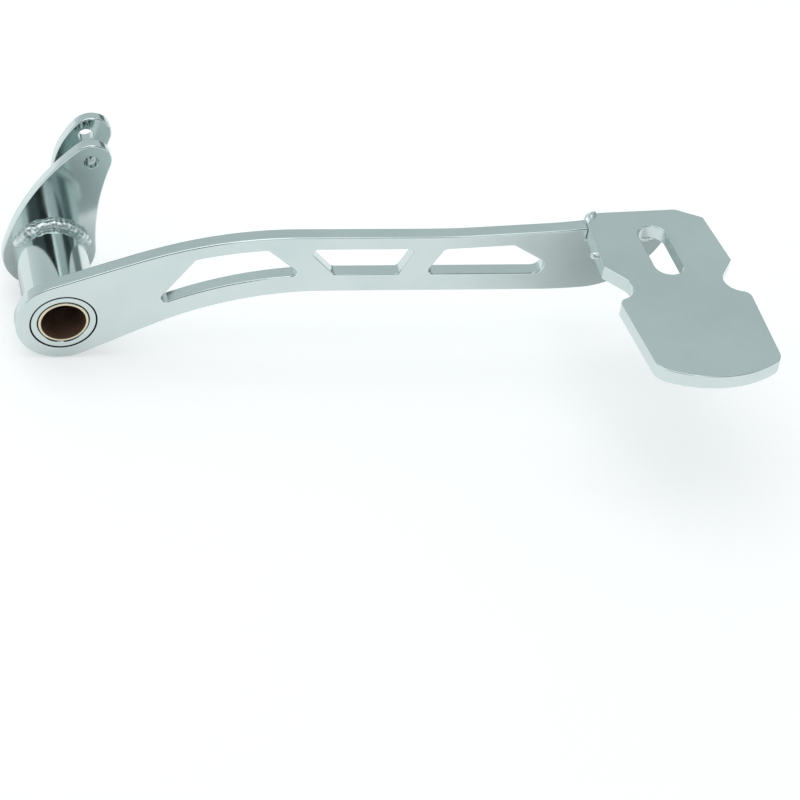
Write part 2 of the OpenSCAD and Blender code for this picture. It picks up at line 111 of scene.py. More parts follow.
radii = {"tube": TUBE_R, "tube behind the ear": REAR_R, "spigot": SPIGOT_R,
         "bushing": BUSH_R, "bore": BORE_R}
for name, radius in radii.items():
    print(name, "radius, mm:", round(radius / MM, 2))
print("arm's thickness, mm:", round(ARM_T / MM, 2))

# %% [markdown]
# ## Small tools for materials
# Colours are written as the sRGB hex values that one reads off a picture, and Blender
# works in linear light, so one function turns them. One more adds any node with its
# settings and its links, which keeps each material down to the few lines that matter.
# Where two sockets of a node share a name, a number picks the socket.

# %% Colour and node tools
def linear(code):
    """Linear RGBA of an sRGB hex colour: each channel undone by the sRGB curve."""
    srgb = np.array([int(code[i:i + 2], 16) for i in (1, 3, 5)]) / 255
    rgb = np.where(srgb <= 0.04045, srgb / 12.92, ((srgb + 0.055) / 1.055) ** 2.4)
    return (*rgb.tolist(), 1.0)


def connect(tree, node, inputs):
    """Set each named socket of the node, or link it where the value is a socket."""
    for name, value in inputs.items():
        if isinstance(value, bpy.types.NodeSocket):
            tree.links.new(value, node.inputs[name])
        else:
            node.inputs[name].default_value = value


def add(tree, kind, settings=None, inputs=None, stops=()):
    """A node with its properties, its sockets and, on a ramp, its (place, hex) stops."""
    node = tree.nodes.new(kind)
    for name, value in (settings or {}).items():
        setattr(node, name, value)
    connect(tree, node, inputs or {})
    for index, (position, code) in enumerate(stops):
        node.color_ramp.elements[index].position = position
        node.color_ramp.elements[index].color = linear(code)
    return node


print("mid grey in linear light:", round(linear("#808080")[0], 3))

# %% Start of a material, and the scale of a pattern
SHARE, FIRST, SECOND = 0, 6, 7  # a Mix node's inputs when it mixes colours
MIXED = 2                       # and its output


def new_material(name):
    """An empty material with its principled shader, its tree and Object coordinates."""
    material = bpy.data.materials.new(name)
    material.use_nodes = True
    tree = material.node_tree
    shader = tree.nodes["Principled BSDF"]
    place = add(tree, "ShaderNodeTexCoord").outputs["Object"]
    return material, tree, shader, place


def scale_for(size_mm):
    """Noise scale per metre for features of a real size in millimetres."""
    return 1 / (size_mm * MM)


print("noise scale for 1 mm features:", scale_for(1))

# %% [markdown]
# ## Seams round the pivot
# The spigot and the bushing are ground flush with the arm, but plating never closes the
# joints between them. Each stays open as a hairline that fills with polishing compound.
# The shade inside that narrow groove is painted in as well, so each shows as a dark ring
# of compound and painted shade. The distance from the pivot axis finds it, and the depth
# behind the arm's face keeps it to the front.

# %% Dark rings by distance from the pivot axis
SEAM_AT = {"spigot": SPIGOT_R - 0.05 * MM, "bushing": BUSH_R - 0.05 * MM}
SEAM_HALF = {"spigot": 0.5 * MM, "bushing": 0.3 * MM}
SEAM_CORE = 0.55  # share of the half width that is fully dark
FRONT_DEPTH = 1.5 * MM


def radius_from_pivot(tree, place):
    """Distance of a point from the pivot axis, in metres: the length of its x and z."""
    flat = add(tree, "ShaderNodeVectorMath", {"operation": "MULTIPLY"},
               {0: place, 1: (1.0, 0.0, 1.0)})
    reach = add(tree, "ShaderNodeVectorMath", {"operation": "LENGTH"},
                {0: flat.outputs["Vector"]})
    return reach.outputs["Value"]


def seam_share(tree, place, seam):
    """One on a ring of the arm's outer face, fading to nothing half a width away."""
    half = SEAM_HALF[seam]
    off = add(tree, "ShaderNodeMath", {"operation": "SUBTRACT"},
              {0: radius_from_pivot(tree, place), 1: SEAM_AT[seam]})
    away = add(tree, "ShaderNodeMath", {"operation": "ABSOLUTE"}, {0: off.outputs[0]})
    ring = add(tree, "ShaderNodeMapRange", inputs={
        "Value": away.outputs[0], "From Min": half, "From Max": SEAM_CORE * half})
    depth = add(tree, "ShaderNodeSeparateXYZ", inputs={"Vector": place})
    front = add(tree, "ShaderNodeMapRange", inputs={
        "Value": depth.outputs["Y"], "From Min": FRONT_DEPTH + 0.5 * MM,
        "From Max": FRONT_DEPTH})
    both = add(tree, "ShaderNodeMath", {"operation": "MULTIPLY"},
               {0: ring.outputs["Result"], 1: front.outputs["Result"]})
    return both.outputs[0]


for seam, radius in SEAM_AT.items():
    print("seam round the", seam, "at radius, mm:", round(radius / MM, 2))

# %% [markdown]
# ## Decorative chrome
# Bright decorative chrome is a thin blue-white layer over polished nickel. It mirrors the
# room almost perfectly. What keeps it from looking like a perfect mirror is the steel
# under it: belt-polished plates are flat only to some hundredths of a millimetre over a
# few centimetres, and handling leaves a faint haze. So the colour stays nearly even, the
# roughness drifts a little, and two noises bend the normal by very small amounts. The
# plating bath hardly reaches into the tube, so its inner wall is bare steel under grease,
# and it is painted darker still as painted shade deep inside the tube.

# %% Chrome plating on polished steel
# Painted shade: the two seam colours stand for polishing compound plus the shade in each
# joint.
SPIGOT_DIRT_AND_SHADE = "#10171A"
BUSHING_DIRT_AND_SHADE = "#2B271C"
# Painted shade: the bore colour stands for grease plus the shade deep inside the tube.
BORE_GREASE_AND_SHADE = "#2A211A"


def pivot_dirt_and_shade(tree, place, clean):
    """The clean colour with both seams as compound and painted shade, and grease and
    painted shade from the bushing inwards.
    """
    ringed = add(tree, "ShaderNodeMix", {"data_type": "RGBA"}, {
        SHARE: seam_share(tree, place, "spigot"), FIRST: clean,
        SECOND: linear(SPIGOT_DIRT_AND_SHADE)})
    edged = add(tree, "ShaderNodeMix", {"data_type": "RGBA"}, {
        SHARE: seam_share(tree, place, "bushing"), FIRST: ringed.outputs[MIXED],
        SECOND: linear(BUSHING_DIRT_AND_SHADE)})
    # From the bushing inwards: grease plus painted shade deep inside the tube.
    inside = add(tree, "ShaderNodeMapRange", inputs={
        "Value": radius_from_pivot(tree, place),
        "From Min": BUSH_R + 0.1 * MM, "From Max": BUSH_R + 0.05 * MM})
    greased_and_shaded = add(tree, "ShaderNodeMix", {"data_type": "RGBA"}, {
        SHARE: inside.outputs["Result"], FIRST: edged.outputs[MIXED],
        SECOND: linear(BORE_GREASE_AND_SHADE)})
    return greased_and_shaded.outputs[MIXED]


def chrome_plating():
    """Hard mirror with slow waviness from the belt polish and a faint handling haze."""
    material, tree, shader, place = new_material("chrome plating, polished steel")
    haze = add(tree, "ShaderNodeTexNoise", inputs={
        "Vector": place, "Scale": scale_for(34), "Detail": 3.0, "Roughness": 0.55})
    clean = add(tree, "ShaderNodeValToRGB", inputs={"Fac": haze.outputs["Fac"]},
                stops=[(0.35, "#CBD7D6"), (0.65, "#D2DDDC")])
    rough = add(tree, "ShaderNodeMapRange", inputs={
        "Value": haze.outputs["Fac"], "From Min": 0.3, "From Max": 0.7,
        "To Min": 0.07, "To Max": 0.13})
    waves = add(tree, "ShaderNodeTexNoise", inputs={
        "Vector": place, "Scale": scale_for(26), "Detail": 1.0})
    grain = add(tree, "ShaderNodeTexNoise", inputs={
        "Vector": place, "Scale": scale_for(1.1), "Detail": 2.0})
    slow = add(tree, "ShaderNodeBump", inputs={
        "Height": waves.outputs["Fac"], "Strength": 0.25, "Distance": 0.35 * MM})
    fine = add(tree, "ShaderNodeBump", inputs={
        "Height": grain.outputs["Fac"], "Strength": 0.12, "Distance": 0.02 * MM,
        "Normal": slow.outputs["Normal"]})
    connect(tree, shader, {
        "Metallic": 1.0, "Base Color": pivot_dirt_and_shade(tree, place, clean.outputs["Color"]),
        "Roughness": rough.outputs["Result"], "Normal": fine.outputs["Normal"]})
    return material


CHROME = chrome_plating()
print("made", CHROME.name)

# %% [markdown]
# ## Chrome over a weld
# The same plating covers the beads, but nobody polishes a bead before it is plated. It
# keeps its ripples and spatter, so the mirror breaks into small bright and dark specks.

# %% Chrome plating on an unpolished weld
def chrome_weld():
    """Plating over the rough skin of a weld: specks of about a millimetre and less."""
    material, tree, shader, place = new_material("chrome plating, rough weld")
    specks = add(tree, "ShaderNodeTexNoise", inputs={
        "Vector": place, "Scale": scale_for(1.3), "Detail": 5.0, "Roughness": 0.65})
    colour = add(tree, "ShaderNodeValToRGB", inputs={"Fac": specks.outputs["Fac"]},
                 stops=[(0.3, "#A9B6B5"), (0.5, "#DCE6E5")])
    rough = add(tree, "ShaderNodeMapRange", inputs={
        "Value": specks.outputs["Fac"], "From Min": 0.3, "From Max": 0.7,
        "To Min": 0.42, "To Max": 0.26})
    skin = add(tree, "ShaderNodeBump", inputs={
        "Height": specks.outputs["Fac"], "Strength": 0.3, "Distance": 0.2 * MM})
    connect(tree, shader, {
        "Metallic": 1.0, "Base Color": colour.outputs["Color"],
        "Roughness": rough.outputs["Result"], "Normal": skin.outputs["Normal"]})
    return material


WELD_CHROME = chrome_weld()
print("made", WELD_CHROME.name)

# %% [markdown]
# ## Sintered bronze
# The bushings are pressed from bronze powder and soaked in oil. Their turned rims catch
# the light as pale gold. The bore is where oil and dust gather, so it is a dark brown and
# hardly shines as metal. The distance from the pivot axis tells rim from bore.

# %% Oil-soaked bronze
def sintered_bronze():
    """Pale turned rim, dark oily bore, fine pores all over, a dark seam round the rim."""
    material, tree, shader, place = new_material("oil-soaked sintered bronze")
    rim = add(tree, "ShaderNodeMapRange", inputs={
        "Value": radius_from_pivot(tree, place),
        "From Min": BORE_R + 0.1 * MM, "From Max": BORE_R + 0.3 * MM})
    pores = add(tree, "ShaderNodeTexNoise", inputs={
        "Vector": place, "Scale": scale_for(0.5), "Detail": 4.0})
    metal = add(tree, "ShaderNodeValToRGB", inputs={"Fac": pores.outputs["Fac"]},
                stops=[(0.3, "#D3C6A6"), (0.6, "#EEE7D2")])
    oil = add(tree, "ShaderNodeValToRGB", inputs={"Fac": pores.outputs["Fac"]},
              stops=[(0.3, "#5A4435"), (0.7, "#967460")])
    oiled = add(tree, "ShaderNodeMix", {"data_type": "RGBA"}, {
        SHARE: rim.outputs["Result"], FIRST: oil.outputs["Color"],
        SECOND: metal.outputs["Color"]})
    # Painted shade: the seam round the rim is darkened for compound plus the shade in the
    # joint.
    edged = add(tree, "ShaderNodeMix", {"data_type": "RGBA"}, {
        SHARE: seam_share(tree, place, "bushing"), FIRST: oiled.outputs[MIXED],
        SECOND: linear(BUSHING_DIRT_AND_SHADE)})
    skin = add(tree, "ShaderNodeBump", inputs={
        "Height": pores.outputs["Fac"], "Strength": 0.3, "Distance": 0.05 * MM})
    shine = add(tree, "ShaderNodeMapRange", inputs={
        "Value": rim.outputs["Result"], "To Min": 0.3, "To Max": 1.0})
    connect(tree, shader, {
        "Metallic": shine.outputs["Result"], "Base Color": edged.outputs[MIXED],
        "Roughness": 0.42, "Normal": skin.outputs["Normal"]})
    return material


BRONZE = sintered_bronze()
print("made", BRONZE.name)

# %% [markdown]
# ## Plates and turned parts with broken edges
# No plate goes to the plating shop with knife edges: they are broken on a belt, and the
# plating rounds them further. That thin rounded line is what the eye reads as thickness,
# because it catches the lamp all the way round. A drilled hole is only touched with a
# countersink, so its edges stay finer. Here a copy of each CAD piece is merged, its flat
# areas are made single faces, and a Bevel rounds every edge sharper than 40 degrees, by
# the share that the edge's weight says. Weighted normals keep the flats flat in the
# reflections.

# %% How much each edge is rounded
SHARP = np.radians(40)
HOLE_SHARE = 0.3
SPIGOT_NEAR = 0.2 * MM
PIN_NEAR = 4 * MM

boss_points = corners_of("pin_boss")
pin_x, _, pin_z = (boss_points.min(axis=0) + boss_points.max(axis=0)) / 2
PIN_AT = Vector((pin_x, pin_z))


def edge_weight(edge):
    """0 for a blunt edge, 1 for an outer one, HOLE_SHARE for one at a drilled hole."""
    if not edge.is_manifold or edge.calc_face_angle() < SHARP:
        return 0.0
    middle = (edge.verts[0].co + edge.verts[1].co) / 2
    flat = Vector((middle.x, middle.z))
    at_spigot = abs(flat.length - SPIGOT_R) < SPIGOT_NEAR
    at_pin = (flat - PIN_AT).length < PIN_NEAR
    return HOLE_SHARE if at_spigot or at_pin else 1.0


print("pin hole at x and z, mm:", round(PIN_AT.x / MM, 2), round(PIN_AT.y / MM, 2))

# %% [markdown]
# ## The first window's sharp corner
# A cutter leaves the same small round in every corner of a window. The CAD's first window
# lacks it in its lower front corner, where the photograph shows a round, so the copy of
# the arm gets one here. The corner's place in x and z is typed, as nothing marks it.

# %% Round one corner of the first window
SHARP_CORNER = Vector((99.72, 25.63)) * MM
CORNER_NEAR = 0.1 * MM
WINDOW_R = 2.2 * MM
CORNER_STEPS = 8


def round_window_corner(shape):
    """Bevel the arm's edge at the sharp corner into a round of the windows' radius.

    The bevel starts as far from the corner as a round of that radius touches the two
    walls, which is the radius over the tangent of half the angle between the walls.
    """
    edges = [edge for edge in shape.edges if all(
        (Vector((v.co.x, v.co.z)) - SHARP_CORNER).length < CORNER_NEAR
        for v in edge.verts)]
    print("sharp corners found:", len(edges))
    if edges:
        half_angle = np.pi / 2 - edges[0].calc_face_angle() / 2
        bmesh.ops.bevel(shape, geom=edges, offset=WINDOW_R / np.tan(half_angle),
                        offset_type="OFFSET", segments=CORNER_STEPS, profile=0.5,
                        affect="EDGES")


print("window corner radius, mm:", WINDOW_R / MM)

# %% Merged copies with rounded edges
MERGE = 0.001 * MM
FLAT = np.radians(0.15)
EDGE_MM = {
    "arm_plate": 0.7, "footplate": 0.45, "outer_rod_ear": 0.7, "inner_rod_ear": 0.7,
    "pivot_tube": 0.15, "pin_boss": 0.5, "outer_bushing": 0.12, "inner_bushing": 0.12}


def put_in_scene(name, data):
    """An object for a mesh, lamp or camera, at the origin."""
    thing = bpy.data.objects.new(name, data)
    bpy.context.scene.collection.objects.link(thing)
    return thing


def merged_copy(node, name):
    """The node's loose triangles joined at shared corners, each flat area one face."""
    mesh = bpy.data.meshes.new(name)
    shape = bmesh.new()
    shape.from_mesh(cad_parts[node].data)
    bmesh.ops.remove_doubles(shape, verts=shape.verts, dist=MERGE)
    bmesh.ops.dissolve_limit(shape, angle_limit=FLAT, verts=shape.verts,
                             edges=shape.edges)
    if node == "arm_plate":
        round_window_corner(shape)
    weights = shape.edges.layers.float.new("bevel_weight_edge")
    for edge in shape.edges:
        edge[weights] = edge_weight(edge)
    shape.to_mesh(mesh)
    shape.free()
    mesh.shade_smooth()
    return put_in_scene(name, mesh)


def break_edges(piece, width):
    """Round each edge to the width times its weight, then weight the normals by area.

    Loop slide is off: with it, the rounding runs out in a spike along any edge that
    still crosses a flat face.
    """
    bevel = piece.modifiers.new("broken edges", "BEVEL")
    bevel.width = width
    bevel.segments = 3
    bevel.limit_method = "WEIGHT"
    bevel.use_clamp_overlap = False
    bevel.loop_slide = False
    normals = piece.modifiers.new("flat faces", "WEIGHTED_NORMAL")
    normals.weight = 100


def dress(piece, node, material):
    """Give the piece its finish, tie it to the body and let it stand for its CAD node."""
    piece.data.materials.clear()
    piece.data.materials.append(material)
    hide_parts(node)
    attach(piece, BODY)


for node, edge_mm in EDGE_MM.items():
    piece = merged_copy(node, node + "_plated")
    break_edges(piece, edge_mm * MM)
    if "bushing" in node:
        dress(piece, node, BRONZE)
    else:
        dress(piece, node, CHROME)
    print(piece.name, "faces:", len(piece.data.polygons))

# %% [markdown]
# ## Weld beads
# A bead is laid by a puddle that moves on a step at a time, and each step freezes as a
# crescent over the last. So a bead is a quarter of a round profile in the corner between
# two faces, carried along the joint, and its size rises and falls with each crescent. A
# hand-laid bead also wanders: a sum of waves makes it thicker here and thinner there.

# %% Waves that make a bead thicker and thinner
WAVES = 16
WAVE_MM = (2, 14)  # shortest and longest wave along the bead
WAVE_TURNS = 3


def lumps(reach, angles, seed):
    """Mean of WAVES sine waves over place on the path and angle round the profile.

    Each has a whole number of cycles along the path, so that a ring closes, with a
    length in the range WAVE_MM, and turns up to WAVE_TURNS times round the profile.
    """
    pick = np.random.default_rng(seed)
    total = reach[-1] + reach[1]
    cycles = np.round(total / (pick.uniform(*WAVE_MM, WAVES) * MM))[:, None, None]
    turns = pick.integers(-WAVE_TURNS, WAVE_TURNS + 1, WAVES)[:, None, None]
    shift = pick.uniform(0, 2 * np.pi, WAVES)[:, None, None]
    phase = 2 * np.pi * cycles * reach[None, :, None] / total + turns * angles + shift
    return np.sin(phase).mean(axis=0)


print(WAVES, "waves of", WAVE_MM, "mm")

# %% A rippled bead along a path
PROFILE_POINTS = 36
CRESCENT = 1.7 * MM
LAG = 0.9         # how far a crescent's ends trail its middle
PEAK = 1.5        # power that makes the top of a crescent narrow
TROUGH = 0.4      # how deep the hollow between two crescents lies
SPREAD = 0.98     # how fast the profile narrows away from the middle of the corner
BURIED = 0.12     # least size of the profile before it is rounded
ROUNDNESS = 0.35  # power that fills the profile out to a round one


def bead_surface(path, along_first, along_second, size, seed, ripple=0.07, rough=0.35):
    """Points on a grid of place on the path by angle round the profile.

    Each point is the path's point plus size times (cos a * first + sin a * second), where
    first and second run along the two faces that the bead joins. Size is multiplied by
    one plus a crescent term, which repeats every CRESCENT and lags with the square of
    the angle from the middle, plus lumps. Outside the quarter between the faces the
    profile shrinks, so that the back of the bead stays buried in the metal.
    """
    angles = np.linspace(0, 2 * np.pi, PROFILE_POINTS, endpoint=False)
    off_middle = angles - np.pi / 4
    leap = np.linalg.norm(np.diff(path, axis=0), axis=1)
    reach = np.concatenate([[0], np.cumsum(leap)])
    total = reach[-1] + reach[1]
    crescents = max(1, round(total / CRESCENT))
    phase = 2 * np.pi * crescents * reach[:, None] / total - LAG * off_middle ** 2
    crescent = (1 - np.abs(np.sin(phase / 2))) ** PEAK - TROUGH
    front = np.clip(np.cos(off_middle * SPREAD), BURIED, 1) ** ROUNDNESS
    swell = 1 + ripple * crescent + rough * lumps(reach, angles, seed)
    radius = size[:, None] * front * swell
    first = np.cos(angles)[None, :, None] * along_first[:, None, :]
    second = np.sin(angles)[None, :, None] * along_second[:, None, :]
    return path[:, None, :] + radius[:, :, None] * (first + second)


print("one crescent every", CRESCENT / MM, "mm")

# %% A closed mesh over a grid of points
def grid_quads(index, wrap_rows=False, wrap_cols=False):
    """Corners of the quads between neighbours of a grid, joined end to end if wrapped."""
    if wrap_rows:
        index = np.vstack([index, index[:1]])
    if wrap_cols:
        index = np.hstack([index, index[:, :1]])
    corners = [index[:-1, :-1], index[:-1, 1:], index[1:, 1:], index[1:, :-1]]
    return np.stack(corners, -1).reshape(-1, 4).tolist()


def mesh_from_grid(name, points, closed):
    """Quads over the grid, wrapped round the profile, and round the path or capped."""
    rows, cols = points.shape[:2]
    index = np.arange(rows * cols).reshape(rows, cols)
    faces = grid_quads(index, wrap_rows=closed, wrap_cols=True)
    if not closed:
        faces += [index[0][::-1].tolist(), index[-1].tolist()]
    mesh = bpy.data.meshes.new(name)
    mesh.from_pydata(points.reshape(-1, 3).tolist(), [], faces)
    shape = bmesh.new()
    shape.from_mesh(mesh)
    bmesh.ops.recalc_face_normals(shape, faces=shape.faces)
    shape.to_mesh(mesh)
    shape.free()
    mesh.shade_smooth()
    return put_in_scene(name, mesh)


print("quads in a wrapped 3 by 4 grid:",
      len(grid_quads(np.arange(12).reshape(3, 4), wrap_cols=True)))

# %% [markdown]
# ## Beads round the tube
# Three beads follow the tube. One goes right round it behind the arm. The one in front of
# the outer ear is laid thick over the top only, from one side to the other, and nobody
# dressed it. The third joins the tube to the inner ear, which stands on it like a saddle.
# The path is an arc about the pivot axis, the first face is the plate's, along the
# radius, and the second is the tube's own.

# %% Ring beads
ARC_POINTS = 240
RING_POINTS = 320
ARC_NOSE = 14     # the higher, the shorter the rounded ends of an arc
NOSE_LEAST = 0.01


def ring_bead(name, node, radius, y, side, size_mm, seed, arc=None, **look):
    """A bead round the pivot axis, whole or over an arc in degrees, with round noses."""
    if arc:
        share = np.linspace(0, 1, ARC_POINTS)
        angles = np.radians(arc[0] + share * (arc[1] - arc[0]))
        nose = np.sqrt(np.clip(1 - np.abs(2 * share - 1) ** ARC_NOSE, NOSE_LEAST, 1))
    else:
        angles = np.linspace(0, 2 * np.pi, RING_POINTS, endpoint=False)
        nose = np.ones(RING_POINTS)
    outward = np.stack([np.cos(angles), np.zeros_like(angles), np.sin(angles)], 1)
    path = outward * radius + np.array([0, y, 0])
    axial = np.tile([0.0, float(side), 0.0], (len(angles), 1))
    grid = bead_surface(path, outward, axial, size_mm * MM * nose, seed, **look)
    piece = mesh_from_grid(name, grid, closed=not arc)
    dress(piece, node, WELD_CHROME)
    print(name, "faces:", len(piece.data.polygons))


ring_bead("arm_tube_bead", "arm_tube_weld", TUBE_R, ARM_T, side=1, size_mm=2.3, seed=11)
ring_bead("outer_ear_bead", "outer_ear_weld", TUBE_R, ear_low.y, side=-1, size_mm=3.4,
          seed=7, arc=(166, 14), ripple=0.01, rough=0.3)
ring_bead("inner_ear_bead", "inner_ear_weld", REAR_R, inner_low.y, side=-1, size_mm=2.1,
          seed=23, arc=(90, -10))

# %% [markdown]
# ## Beads at the footplate
# Two beads under the footplate hold it to the arm, one on each face. Each lies in the
# corner of the arm's face and the footplate's underside. The CAD bead touches that corner
# all along, so its vertices that reach least far out from both faces give the path. The
# two faces' directions follow from the arm's bend and from how the footplate leans.

# %% Beads under the footplate
BEND = np.radians(8)
TILT = np.radians(4.5)
SPLAY = np.radians(4.3)
OUT_OF_ARM = np.array([np.sin(BEND), -np.cos(BEND), 0.0])
PAD_DOWN = -np.array([-np.sin(TILT) * np.sin(SPLAY), np.sin(TILT) * np.cos(SPLAY),
                      np.cos(TILT)])
PAD_BEAD_MM = 2.9
PATH_POINTS = 90
PATH_NEAR = 0.3 * MM
STRAIGHT_NOSE = 8


def corner_path(node, first, second):
    """Points between the two ends of the corner out of which the CAD bead stands."""
    points = corners_of(node)
    depth = points @ first + points @ second
    edge = points[depth < depth.min() + PATH_NEAR]
    start = edge[edge[:, 0].argmin()]
    end = edge[edge[:, 0].argmax()]
    return start + np.linspace(0, 1, PATH_POINTS)[:, None] * (end - start)


def straight_bead(name, node, first, second, seed):
    """A bead along the corner of two flat faces, with a rounded nose at each end."""
    path = corner_path(node, first, second)
    share = np.linspace(-1, 1, len(path))
    nose = np.sqrt(np.clip(1 - share ** STRAIGHT_NOSE, NOSE_LEAST, 1))
    grid = bead_surface(path, np.tile(first, (len(path), 1)),
                        np.tile(second, (len(path), 1)), PAD_BEAD_MM * MM * nose, seed)
    piece = mesh_from_grid(name, grid, closed=False)
    dress(piece, node, WELD_CHROME)
    length = np.linalg.norm(path[-1] - path[0])
    print(name, "length, mm:", round(length / MM, 1), "from", np.round(path[0] / MM, 1))


straight_bead("front_pad_bead", "front_pad_weld", OUT_OF_ARM, PAD_DOWN, seed=31)
straight_bead("rear_pad_bead", "rear_pad_weld", -OUT_OF_ARM, PAD_DOWN, seed=37)

# %% [markdown]
# ## Corner bead and tack
# A short bead closes the corner where the footplate's bevel passes over the arm's top
# edge, and one small tack sits on the neck's rear side. Both are drops of metal that ran
# out a little, so each is a stretched ball: a grid of latitude by longitude whose radius
# wanders by a few waves, with its inner half buried in the plate.

# %% Drops of weld metal
DROP_ROWS, DROP_COLS = 25, 48


def drop(name, node, centre, half_sizes, turn, seed):
    """A lumpy ellipsoid: (cos u cos v, sin u cos v, sin v) times the half sizes, turned.

    Its radius is one plus two waves of 6 and 5 per cent. The last row and the first one
    each meet in a single pole, so the skin is closed.
    """
    u = np.linspace(0, 2 * np.pi, DROP_COLS, endpoint=False)[None, :]
    v = np.linspace(-np.pi / 2, np.pi / 2, DROP_ROWS + 2)[1:-1, None]
    pick = np.random.default_rng(seed)
    a, b = pick.uniform(0, 2 * np.pi, 2)
    long_wave = 0.06 * np.sin(2 * u + 3 * v + a)
    short_wave = 0.05 * np.sin(3 * u - 4 * v + b) * np.cos(v)
    ball = np.stack([np.cos(u) * np.cos(v), np.sin(u) * np.cos(v),
                     np.sin(v) * np.ones_like(u)], -1)
    swollen = ball * (1 + long_wave + short_wave)[..., None]
    points = (swollen * np.array(half_sizes) * MM).reshape(-1, 3)
    poles = np.array([[0, 0, -half_sizes[2]], [0, 0, half_sizes[2]]]) * MM
    c, s = np.cos(turn), np.sin(turn)
    turned = np.vstack([points, poles]) @ np.array([[c, s, 0], [-s, c, 0], [0, 0, 1]])
    index = np.arange(DROP_ROWS * DROP_COLS).reshape(DROP_ROWS, DROP_COLS)
    first, last = index[0], index[-1]
    south, north = np.full(DROP_COLS, index.size), np.full(DROP_COLS, index.size + 1)
    caps = np.vstack([np.stack([np.roll(first, -1), first, south], -1),
                      np.stack([last, np.roll(last, -1), north], -1)])
    mesh = bpy.data.meshes.new(name)
    mesh.from_pydata((turned + np.array(centre)).tolist(), [],
                     grid_quads(index, wrap_cols=True) + caps.tolist())
    mesh.shade_smooth()
    piece = put_in_scene(name, mesh)
    dress(piece, node, WELD_CHROME)
    print(name, "at, mm:", [round(v / MM, 1) for v in centre])


# %% The corner bead and the tack
BEVEL_BACK_MM, BEVEL_ACROSS_MM = 7.2, 7.4
ALONG_BEVEL = np.arctan2(BEVEL_ACROSS_MM, BEVEL_BACK_MM) + SPLAY
TACK_TURN = -0.2
CORNER_SHIFT = Vector((1.6, -0.3, 0.3)) * MM  # from the CAD bead's middle to the plate
TACK_OUT = 0.8 * MM
corner_low, corner_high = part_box("corner_pad_weld")
tack_low, tack_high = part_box("side_tack_weld")
corner_at = (corner_low + corner_high) / 2 + CORNER_SHIFT
tack_middle = (tack_low + tack_high) / 2
tack_at = Vector((tack_high.x, tack_middle.y - TACK_OUT, tack_middle.z))

drop("corner_pad_drop", "corner_pad_weld", corner_at, half_sizes=(4.8, 2.6, 2.4),
     turn=ALONG_BEVEL, seed=41)
drop("side_tack_drop", "side_tack_weld", tack_at, half_sizes=(3.2, 1.8, 1.8),
     turn=TACK_TURN, seed=43)

# %% [markdown]
# ## Floor
# Chrome has hardly a colour of its own: it shows the room. The floor is matt and pale. A
# picture for a catalogue wants it pure white, so it also glows a little for the camera
# and for every mirror and glass that shows it, and sheds no light by that glow. The
# pedal's shadow stays, because the glow is the same in it as outside.

# %% Tools for the set round the pedal
MATT = 0.9


def matt_material(name, code):
    """A dull surface of one colour that mirrors nothing."""
    material, tree, shader, place = new_material(name)
    connect(tree, shader, {
        "Base Color": linear(code), "Roughness": MATT, "Specular IOR Level": 0.0})
    return material, tree, shader, place


def stage_object(name, mesh, material):
    """A part of the set round the pedal, not of the pedal."""
    mesh.materials.append(material)
    piece = put_in_scene(name, mesh)
    return piece


def level_sheet(name, middle, half, z):
    """A flat rectangle's mesh: its middle plus and minus its half sizes, at height z."""
    corners = [(middle[0] + half[0] * x, middle[1] + half[1] * y, z)
               for x, y in ((-1, -1), (1, -1), (1, 1), (-1, 1))]
    mesh = bpy.data.meshes.new(name)
    mesh.from_pydata(corners, [], [(0, 1, 2, 3)])
    return mesh


print("roughness of the matt surfaces:", MATT)

# %% Pale floor with a white look
FLOOR_Z = start_low.z - 0.2 * MM
FLOOR_HALF = 12.0
FLOOR_GLOW = 0.46


def floor_paint():
    """Matt pale paint plus a glow that only camera, glossy and transmitted rays see."""
    material, tree, shader, _ = matt_material("matt white floor paint", "#DADADA")
    rays = add(tree, "ShaderNodeLightPath")
    seen = add(tree, "ShaderNodeMath", {"operation": "ADD"}, {
        0: rays.outputs["Is Camera Ray"], 1: rays.outputs["Is Glossy Ray"]})
    shown = add(tree, "ShaderNodeMath", {"operation": "ADD"}, {
        0: seen.outputs[0], 1: rays.outputs["Is Transmission Ray"]})
    glow = add(tree, "ShaderNodeMath", {"operation": "MULTIPLY"}, {
        0: shown.outputs[0], 1: FLOOR_GLOW})
    connect(tree, shader, {
        "Emission Color": linear("#FFFFFF"), "Emission Strength": glow.outputs[0]})
    return material


stage_object("floor", level_sheet("floor", (0, 0), (FLOOR_HALF, FLOOR_HALF), FLOOR_Z),
             floor_paint())
print("floor at z, mm:", round(FLOOR_Z / MM, 1))

# %% [markdown]
# ## Room light
# The room is an even cool grey, a little brighter near the horizon, with one wide soft
# lamp overhead. The plates' upper faces mirror the grey behind them and the arm's face
# mirrors the floor in front.

# %% World and lamp
LAMP_AT = Vector((-0.2, -0.3, 2.4))
LAMP_AIM = Vector((0.12, 0.0, 0.0))
LAMP_SIZE = (3.6, 2.8)
LAMP_WATTS = 31


def room_light():
    """Cool grey from every side, paler towards the horizon, by the height of the ray.

    A ray straight from the camera finds plain white, so the backdrop is white as well.
    """
    world = bpy.data.worlds.new("even studio")
    world.use_nodes = True
    tree = world.node_tree
    towards = add(tree, "ShaderNodeTexCoord").outputs["Generated"]
    height = add(tree, "ShaderNodeSeparateXYZ", inputs={"Vector": towards})
    shade = add(tree, "ShaderNodeValToRGB", inputs={"Fac": height.outputs["Z"]},
                stops=[(0.0, "#E4E9EA"), (0.5, "#CBD4D6")])
    rays = add(tree, "ShaderNodeLightPath")
    seen = add(tree, "ShaderNodeMix", {"data_type": "RGBA"}, {
        SHARE: rays.outputs["Is Camera Ray"], FIRST: shade.outputs["Color"],
        SECOND: linear("#FFFFFF")})
    connect(tree, tree.nodes["Background"], {"Color": seen.outputs[MIXED]})
    return world


